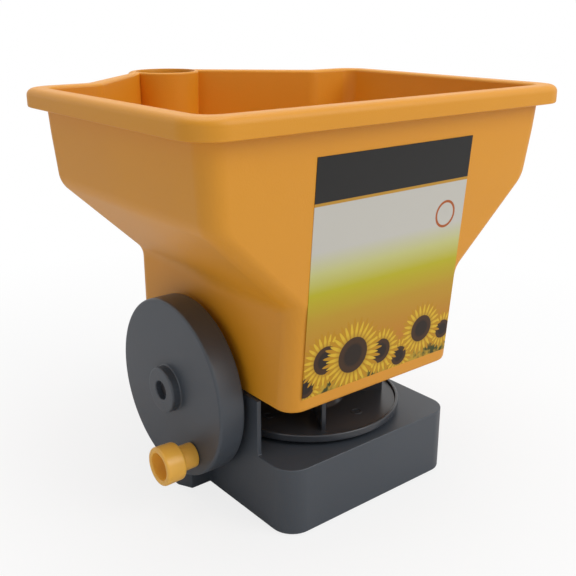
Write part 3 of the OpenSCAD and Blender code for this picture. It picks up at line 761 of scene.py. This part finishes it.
def base_shell():
    """Deck, cradle walls, tongue, gusset and side foot, hollow from below, with eased edges."""
    low_deck, far = deck_z - WALL, 100
    shell = prism("base", base_outline(0), 0, deck_z)
    cradle = build(prism("cradle", base_outline(0), deck_z - 1, seat_z), [], [
        prism("cradle inside", base_outline(WALL), deck_z - 2, seat_z + 1),
        block("cut front", -far, far, base_front - 50, base_front + LEFT_WALL_BACK, deck_z, seat_z + 5),
        block("cut right", 0, far, base_front - 50, base_front + RIGHT_WALL_BACK, deck_z, seat_z + 5)])
    root, under = base_rear - WALL, tongue_z - TONGUE_TALL
    gusset = [(root, deck_z - 18), (root + 1.5, deck_z - 18), (root + 26, under), (root + 26, under + 3),
              (root, under + 3)]
    hollow = [(root - 1, deck_z - 14.5), (root + 1, deck_z - 14.5), (base_rear + 21.1, under - 2),
              (base_rear + 21.1, under + 4), (root - 1, under + 4)]
    foot_x, near_x = base_low.x, -base_half + 2
    foot = [(foot_x + 4, crank_axis.y - 8), (near_x, crank_axis.y - 8), (near_x, crank_axis.y + 28),
            (foot_x + 4, crank_axis.y + 28), (foot_x, crank_axis.y + 22), (foot_x, crank_axis.y)]
    adds = [cradle, prism("tongue", tongue_outline(0), under, tongue_z),
            side_prism("gusset", gusset, -TONGUE_HALF, TONGUE_HALF), prism("foot", foot, 0, 8)]
    cuts = [prism("under deck", base_outline(WALL), -1, low_deck),
            prism("tongue hollow", tongue_outline(WALL), under - 1, tongue_z - WALL),
            side_prism("gusset hollow", hollow, -TONGUE_HALF + WALL, TONGUE_HALF - WALL),
            block("hopper seat", -far, far, wall_rear - 50, wall_rear, seat_z, seat_z + 50)]
    return eased(build(shell, adds, cuts), 0.9, 3)


def base():
    """The base housing: its shell with turret, hubs, posts, sockets and bores."""
    made = base_shell()
    disc_y, low_deck = disc_axis.y, deck_z - WALL
    socket_z = tongue_z - SPIGOT_LONG
    crank_at = (-base_half, crank_axis.y, crank_axis.z)
    shaft_at = (-base_half, disc_y, pinion_axis.z)
    turret_line = [(0, low_deck), (15, low_deck, 0), (15, deck_z + 4, 1), (0, deck_z + 4)]
    turret = moved(turned("turret", softened(turret_line, 0.5), 64), 0, disc_y)
    hub_line = softened([(0, -3), (9, -3, 0), (9, 3, 0.8), (0, 3)], 0.4)
    adds = [turret, lying(turned("hub out", hub_line, 48), *crank_at),
            lying(rod("hub in", -WALL - 3, -1, seat_z - crank_axis.z), *crank_at),
            lying(rod("bearing", -WALL - 3, 1, 6.4), *shaft_at),
            block("rib", -22, -19, disc_y - 9, disc_y + 9, pinion_axis.z - 9, deck_z - 1)]
    adds += [rod("post", low_deck - 0.5, seat_z, BOSS_R, x, y) for x, y in rear_posts]
    adds += [rod("post", 2.5, deck_z - 1, BOSS_R, x, y) for x, y in cover_corners]
    adds.append(rod("handle post", tongue_z - 15, tongue_z - 0.5, 12, 0, handle_y))
    holes = [rod("turret hollow", low_deck - 1, deck_z + 2, 12.6, 0, disc_y),
             rod("disc bore", deck_z, deck_z + 5, SHAFT_HOLE_R, 0, disc_y),
             lying(rod("axle bore", -15, 5, 4), *crank_at),
             lying(rod("shaft bore", -40, 5, 4.4), *shaft_at),
             rod("socket", socket_z - 0.3, tongue_z + 1, SPIGOT_R + 0.3, 0, handle_y),
             rod("handle screw hole", tongue_z - 20, tongue_z, SCREW_R, 0, handle_y, 20),
             block("plate way", -9.3, 9.3, base_rear - WALL - 5, base_rear + 1, seat_z - 3.2, seat_z + 0.5),
             block("lever way", -2.9, 2.9, wall_rear + 10, wall_rear + 38, tongue_z - WALL - 1, tongue_z + 1)]
    holes += [rod("screw hole", low_deck - 1, seat_z - 8, 3.7, x, y, 24) for x, y in rear_posts]
    holes += [rod("screw hole", -1, 16, SCREW_R, x, y, 20) for x, y in cover_corners]
    build(made, adds, holes)
    return piece(made, "base_moulding", "housing", GREY, ["base_housing"])


# ---- Crank wheel and knob ----
def crank():
    """The crank wheel: a cup with a hub, an inner ring gear, ribs and a boss for the knob's pin."""
    back = wheel_low.x + WHEEL_BOSS - wheel_high.x
    r = (wheel_high.z - wheel_low.z) / 2
    axle_r, hub_r, web = 4.05, 9, -2.6
    profile = softened([(axle_r, back + 0.4, 0.3), (hub_r, back + 0.4, 0.5), (hub_r, web, 0.8),
                        (44.6, web, 0.6), (44.6, back, 0.6), (r, back, 1.0), (r, 0, 1.6), (12, 0, 0.8),
                        (12, WHEEL_BOSS, 1.2), (5, WHEEL_BOSS, 0.8), (5, 1.7, 0.2), (axle_r, 1.7, 0.2)], 0.5)
    wheel = turned("wheel", profile, 128)
    hole = rod("pin hole", -10, 5, 2.2, 0, 0, 24)
    flank = [(44.9, 0.95), (43.5, 0.62), (42.8, 0.4)]
    tooth_line = flank + [(x, -y) for x, y in reversed(flank)]
    tooth = prism("tooth", tooth_line, back + 0.2, web + 0.2)
    teeth = round_row("teeth", tooth, RING_TEETH, 0.0, GREY)
    rib = block("rib", 8, 27, -0.8, 0.8, -8.6, web + 0.2)
    ribs = round_row("ribs", rib, WHEEL_RIBS, radians(30), GREY)
    boss = rod("knob boss", -3.2, web + 0.2, 5)
    pin = Vector((knob_axis.y - crank_axis.y, knob_axis.z - crank_axis.z))
    for made in (hole, boss):
        moved(made, pin.x, pin.y)
    for made in (teeth, ribs):
        made.data.transform(Matrix.Rotation(atan2(pin.y, pin.x), 4, "Z"))
    build(wheel, [], [hole])
    merged(wheel, teeth, ribs, boss)
    # made round Z: its X and Y become the frame's Y and Z, and its Z becomes -X
    stand = Matrix(((0, 0, -1, 0), (1, 0, 0, 0), (0, 1, 0, 0), (0, 0, 0, 1)))
    wheel.data.transform(stand)
    wheel.data.flip_normals()
    moved(wheel, wheel_low.x + WHEEL_BOSS, crank_axis.y, crank_axis.z)
    return piece(wheel, "crank_wheel_moulding", "crank", GREY, ["crank_wheel"])


def knob():
    """The crank knob: a thin neck, a wider grip and a hollow open end."""
    long = knob_high.x - knob_low.x
    r = (knob_high.z - knob_low.z) / 2
    pin_r, hollow = 3.05, long - 9
    profile = softened([(pin_r, 0, 0.2), (6.4, 0, 0.7), (6.6, long * 0.43, 1.2),
                        (r - 0.3, long * 0.47, 1.6), (r, long, 1.5), (r - 2.9, long, 1.0),
                        (r - 3.6, hollow, 1.2), (pin_r, hollow, 0.4)], 0.5)
    made = turned("knob", profile, 72)
    lying(made, knob_high.x, knob_axis.y, knob_axis.z)
    return piece(made, "crank_knob_moulding", "knob", KNOB_ORANGE, ["crank_knob"])


# ---- Spreading disc ----
def disc():
    """The spreading disc: a dished plate with a rim and hub, upright vanes and small round marks."""
    under, floor, rim = disc_low.z, disc_low.z + 0.8, disc_low.z + 3.9
    r, top = (disc_high.x - disc_low.x) / 2, disc_high.z
    inner_r, thick, hub = r - 1.8, 1.6, deck_z + 5.5
    shaft_r, sleeve_r = 3.0, 7
    profile = softened([(shaft_r, hub, 0.0), (17, hub, 1.0), (19, floor, 1.0), (inner_r, floor, 0.3),
                        (inner_r, under, 0.3), (r, under, 0.5), (r, rim, 0.8), (inner_r, rim, 0.7),
                        (inner_r, floor + thick, 0.8), (20, floor + thick, 1.5),
                        (18, hub + thick, 1.5), (sleeve_r, hub + thick, 1.0),
                        (sleeve_r, hub + 10, 0.6), (shaft_r, hub + 10, 0.2)], 0.5)
    plate = turned("disc", profile, 128)
    foot_r, tip_r = 6.5, r - 7.5
    outline = softened([(foot_r, hub + 0.4, 0), (19, hub + 0.4, 0), (20, floor + 0.4, 0),
                        (tip_r, floor + 0.4, 0), (tip_r, top, 1.5), (12, top, 1.5),
                        (10.5, hub + 11.6, 1.5), (foot_r, hub + 9.5, 0)], 0.0)
    vane = loft("vane", [[(x, y, z) for x, z in outline] for y in (-VANE_HALF, VANE_HALF)])
    eased(vane, 0.5, 3)
    vanes = round_row("vanes", vane, VANES, radians(VANE_ANGLE), GREY)
    mark = turned("mark", softened([(2.3, floor + 1.4), (3.1, floor + 1.4), (3.1, floor + 1.95, 0.2),
                                    (2.3, floor + 1.95, 0.2)], 0.1), 32)
    marks = round_row("marks", moved(mark, 33, 0), VANES, radians(12), GREY)
    merged(plate, vanes, marks)
    moved(plate, 0, disc_axis.y)
    return piece(plate, "spreading_disc_moulding", "disc", DECK_GREY, ["spreading_disc"])


# ---- Screws, from one template with a cross recess ----
def pan_head(long):
    """A screw with its head's face at Z 0 and its shank upwards."""
    head_z, slot = 2.2, 1.9
    profile = [(0, head_z), (3.4, head_z, 0.2), (3.4, 1.3, 0.6), (2.4, 0, 0.8), (0, 0)]
    head = turned("screw", softened(profile, 0.3), 28)
    shank = rod("shank", head_z - 0.1, head_z + long, SCREW_R, 0, 0, 20)
    slots = [block("slot", -x, x, -y, y, -1, 1.2) for x, y in ((slot, 0.4), (0.4, slot))]
    return build(head, [shank], slots)


def screws():
    """Every row of screws in the housing, each with the length of its shank."""
    rows = (("base_cover_screws", [(x, y, 0.05) for x, y in cover_corners], 11),
            ("hopper_screws", [(x, y, seat_z - 10.2) for x, y in rear_posts], 13),
            ("guide_screws", [(x, y, seat_z - 5.2) for x, y in guide_places], 8),
            ("handle_screw", [(0, handle_y, tongue_z - 17.2)], 13))
    for node, places, long in rows:
        made = placed_row(node + "_set", pan_head(long), places, STEEL)
        piece(made, node + "_set", "housing", STEEL, [node])


hopper()
base()
crank()
knob()
disc()
screws()


# ---- Finishes of the parts that are shown as they come ----
FINISHES = {"front_label": FILM, "base_cover": GREY, "shutter_guide": DECK_GREY, "shutter_plate": GREY,
            "shutter_lever": KNOB_ORANGE, "scale_marks": PAINT, "shaft_bushes": NYLON, "disc_bush": NYLON,
            "floor_bush": NYLON, "drive_pinion": NYLON, "shaft_mitre_gear": NYLON, "disc_mitre_gear": NYLON,
            "agitator": NYLON, "crank_washer": DARK_STEEL, "crank_axle_screw": DARK_STEEL,
            "crank_axle": DARK_STEEL}
for node, part in frame["nodes"].items():
    part.data.materials.clear()
    part.data.materials.append(FINISHES.get(node, STEEL))


# ---- Floor, light and camera ----
FLOOR_HALF, FLOOR_Z = 3.0, -0.0005


def floor_sheet():
    """A pale floor that fades into the white around it, away from the spreader's shadow."""
    mesh = bpy.data.meshes.new("floor")
    corners = [(x * FLOOR_HALF, y * FLOOR_HALF, FLOOR_Z) for x, y in ((-1, -1), (1, -1), (1, 1), (-1, 1))]
    mesh.from_pydata(corners, [], [(0, 1, 2, 3)])
    made = bpy.data.objects.new("floor", mesh)
    bpy.context.scene.collection.objects.link(made)
    material = bpy.data.materials.new("pale floor")
    material.use_nodes = True
    n, link = material.node_tree.nodes, material.node_tree.links
    shader = n["Principled BSDF"]
    shader.inputs["Base Color"].default_value = (0.9, 0.9, 0.9, 1)
    shader.inputs["Roughness"].default_value = 0.9
    shine = n.new("ShaderNodeEmission")
    place = n.new("ShaderNodeTexCoord")
    far = added(n, "ShaderNodeVectorMath", operation="LENGTH")
    away = n.new("ShaderNodeMapRange")
    for label, level in (("From Min", 0.12), ("From Max", 0.42), ("To Min", 0.80), ("To Max", 1.0)):
        away.inputs[label].default_value = level
    rays = n.new("ShaderNodeLightPath")
    seen = added(n, "ShaderNodeMath", operation="MAXIMUM")
    share = added(n, "ShaderNodeMath", operation="MULTIPLY")
    mix = n.new("ShaderNodeMixShader")
    link.new(place.outputs["Object"], far.inputs[0])
    link.new(far.outputs["Value"], away.inputs["Value"])
    link.new(rays.outputs["Is Camera Ray"], seen.inputs[0])
    link.new(rays.outputs["Is Transmission Ray"], seen.inputs[1])
    link.new(seen.outputs[0], share.inputs[0])
    link.new(away.outputs[0], share.inputs[1])
    link.new(share.outputs[0], mix.inputs[0])
    link.new(shader.outputs[0], mix.inputs[1])
    link.new(shine.outputs[0], mix.inputs[2])
    link.new(mix.outputs[0], n["Material Output"].inputs["Surface"])
    mesh.materials.append(material)


def world():
    """Plain grey room light; the camera, reflections and glass see white."""
    room = bpy.data.worlds.new("studio")
    bpy.context.scene.world = room
    room.use_nodes = True
    n, link = room.node_tree.nodes, room.node_tree.links
    dim = n["Background"]
    dim.inputs["Color"].default_value = (1, 1, 1, 1)
    dim.inputs["Strength"].default_value = 0.34
    white = n.new("ShaderNodeBackground")
    white.inputs["Color"].default_value = (1, 1, 1, 1)
    white.inputs["Strength"].default_value = 1.0
    rays = n.new("ShaderNodeLightPath")
    mix = n.new("ShaderNodeMixShader")
    seen = rays.outputs["Is Camera Ray"]
    for kind in ("Is Glossy Ray", "Is Transmission Ray"):
        either = added(n, "ShaderNodeMath", operation="MAXIMUM")
        link.new(seen, either.inputs[0])
        link.new(rays.outputs[kind], either.inputs[1])
        seen = either.outputs[0]
    link.new(seen, mix.inputs[0])
    link.new(dim.outputs[0], mix.inputs[1])
    link.new(white.outputs[0], mix.inputs[2])
    link.new(mix.outputs[0], n["World Output"].inputs["Surface"])


def lamp(name, power, size, at, target=(0, 0, 0.1)):
    """A round soft lamp that faces a target."""
    data = bpy.data.lights.new(name, "AREA")
    data.energy, data.shape, data.size = power, "DISK", size
    made = bpy.data.objects.new(name, data)
    made.location = at
    made.rotation_euler = (Vector(target) - Vector(at)).to_track_quat("-Z", "Y").to_euler()
    bpy.context.scene.collection.objects.link(made)


floor_sheet()
world()
lamp("key", 6.0, 0.9, (0.45, -0.95, 0.85))
lamp("left fill", 0.8, 0.9, (-1.1, -0.7, 0.35))
lamp("top", 8.5, 1.2, (0.1, 0.2, 1.4))

camera_data = bpy.data.cameras.new("camera")
camera_data.sensor_width = 36.0
camera_data.lens = 51.55
camera = bpy.data.objects.new("camera", camera_data)
bpy.context.scene.collection.objects.link(camera)
yaw, pitch = radians(38.83), radians(18.83)
camera.location = (-0.2690, -0.3611, 0.2442)
view_line = Vector((sin(yaw) * cos(pitch), cos(yaw) * cos(pitch), -sin(pitch)))
camera.rotation_mode = "QUATERNION"
camera.rotation_quaternion = view_line.to_track_quat("-Z", "Y")
bpy.context.scene.camera = camera
bpy.context.scene.view_settings.view_transform = "Standard"
